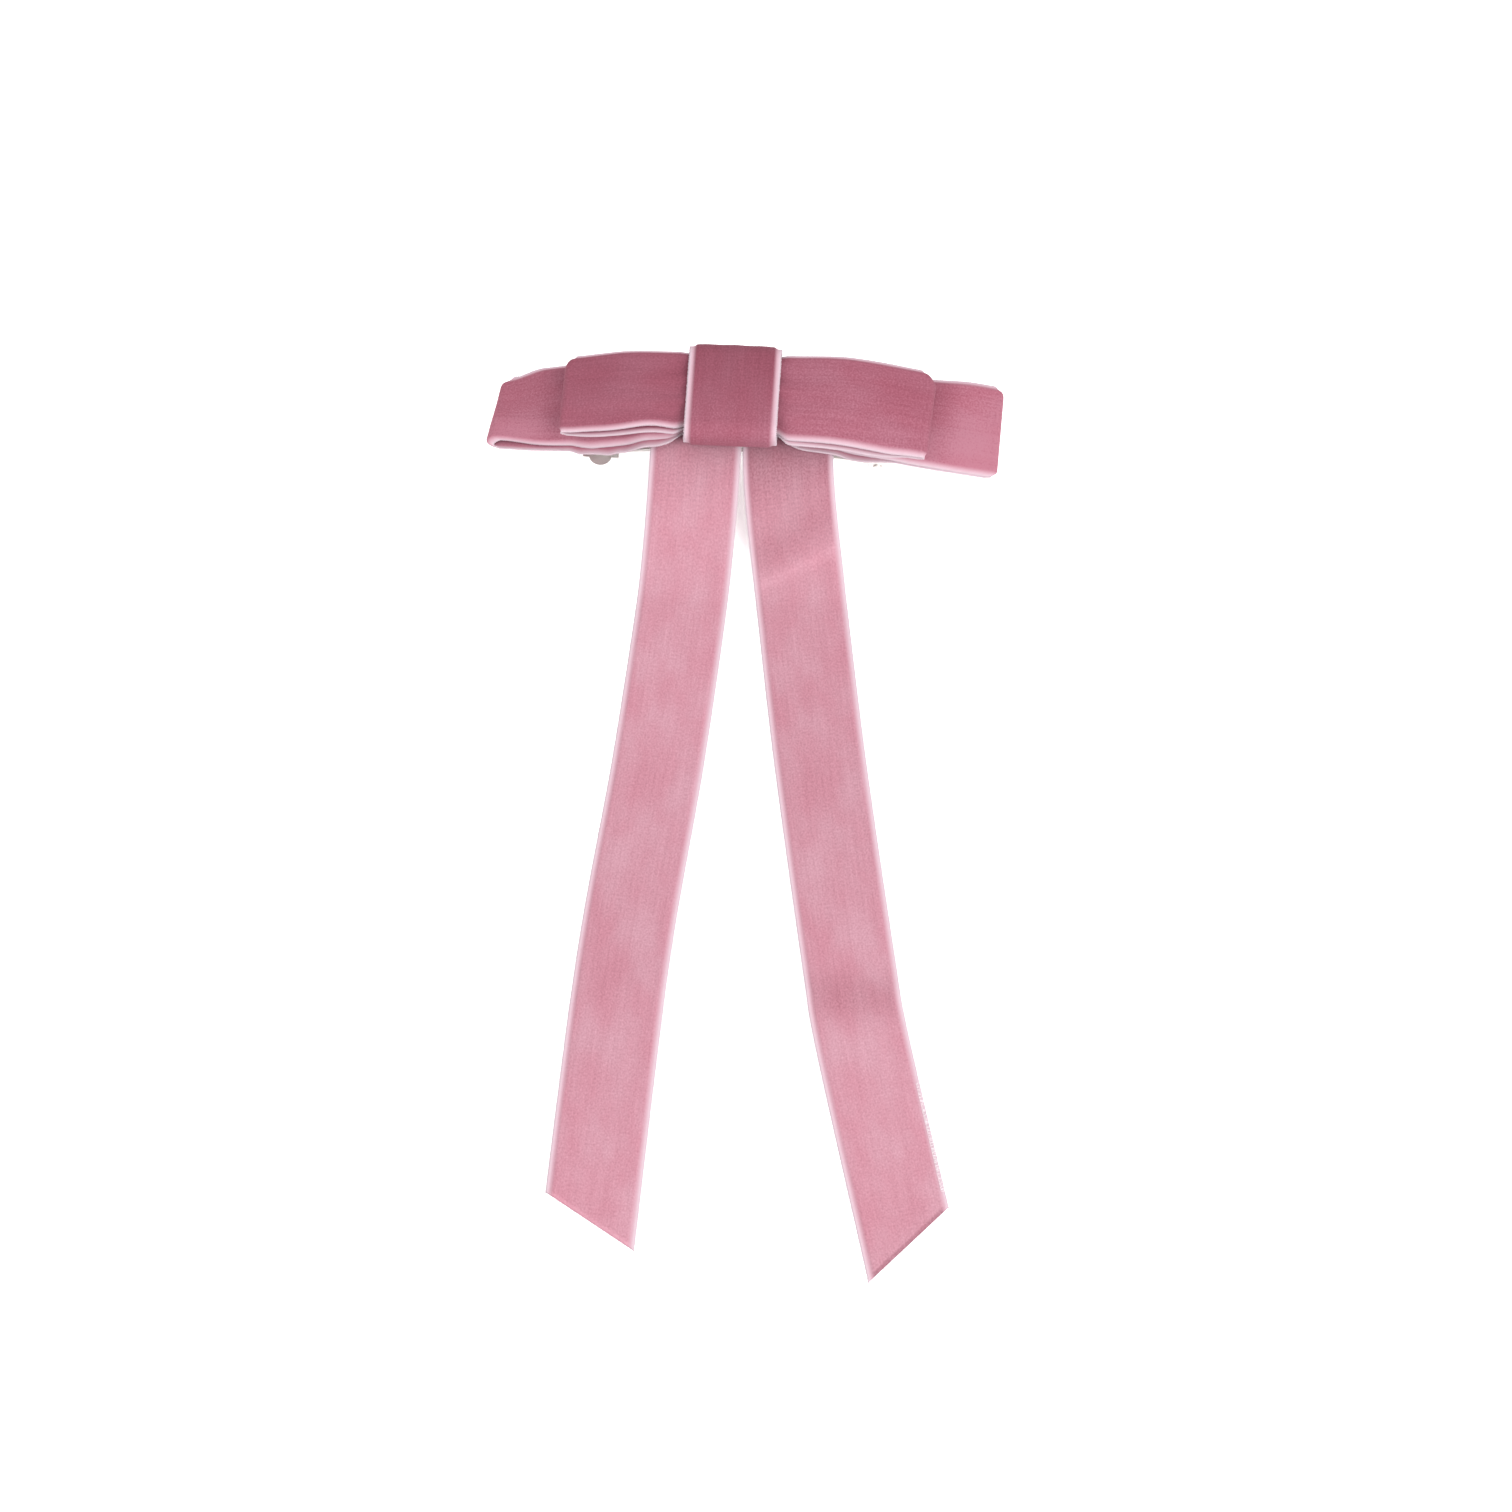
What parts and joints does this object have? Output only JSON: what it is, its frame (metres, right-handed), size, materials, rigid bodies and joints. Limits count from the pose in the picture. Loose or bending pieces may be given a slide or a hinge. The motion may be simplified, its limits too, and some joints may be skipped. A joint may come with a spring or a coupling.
{
  "type": "hair barrette",
  "caption": "Flat velvet ribbon bow with long slanted tails, glued on a curved sprung metal hair clip that opens at one end.",
  "frame": {"origin": "centre of the hair gap between the closing arm and the tension bar, at the clip's middle", "axes": "+X along the clip from the latch to the hinge, tails towards -Y, +Z out of the bow's face"},
  "size_m": [0.127, 0.2303, 0.0266],
  "materials": {
    "velvet": "dusty rose velvet pile, matt with a soft sheen",
    "velvet_light": "the same velvet seen along its nap, paler",
    "ribbon_back": "plain woven ribbon back",
    "thread": "twisted polyester thread",
    "glue": "set hot-melt glue",
    "nickel": "nickel-plated spring steel, bright with fine drawn marks"
  },
  "bodies": {
    "bow": {"base_plate": "nickel", "hinge_pin": "nickel", "latch_bridge": "nickel", "latch_rivet": "nickel", "adhesive": "glue", "backing_strip": "ribbon_back", "tail_left": "velvet_light", "tail_right": "velvet_light", "base_loop": "velvet", "upper_loop": "velvet", "thread_binding": "thread", "knot_wrap": "velvet"},
    "arm": {"closing_arm": "nickel"},
    "bar": {"tension_bar": "nickel"},
    "latch_front": {"latch_tab_front": "nickel"},
    "latch_rear": {"latch_tab_rear": "nickel"}
  },
  "joints": [
    {"name": "arm_hinge", "type": "hinge", "parent": "bow", "child": "arm", "pos_m": [0.035, 0, -0.0069], "axis": [0, -1, 0], "range_deg": [0, 100]},
    {"name": "bar_flex", "type": "hinge", "parent": "bow", "child": "bar", "pos_m": [0.035, 0, -0.0069], "axis": [0, 1, 0], "range_deg": [0, 1.5], "stiffness_Nm_per_rad": 0.4},
    {"name": "latch_squeeze", "type": "hinge", "parent": "bow", "child": "latch_rear", "pos_m": [-0.0346, 0.00295, 0.00037], "axis": [-1, 0, 0], "range_deg": [0, 8], "stiffness_Nm_per_rad": 0.05},
    {"name": "latch_squeeze_front", "type": "hinge", "parent": "bow", "child": "latch_front", "pos_m": [-0.0346, -0.00295, 0.00037], "axis": [1, 0, 0], "range_deg": [0, 8], "stiffness_Nm_per_rad": 0.05}
  ],
  "couplings": [
    {"joint": "latch_squeeze_front", "follows": "latch_squeeze", "ratio": 1}
  ]
}
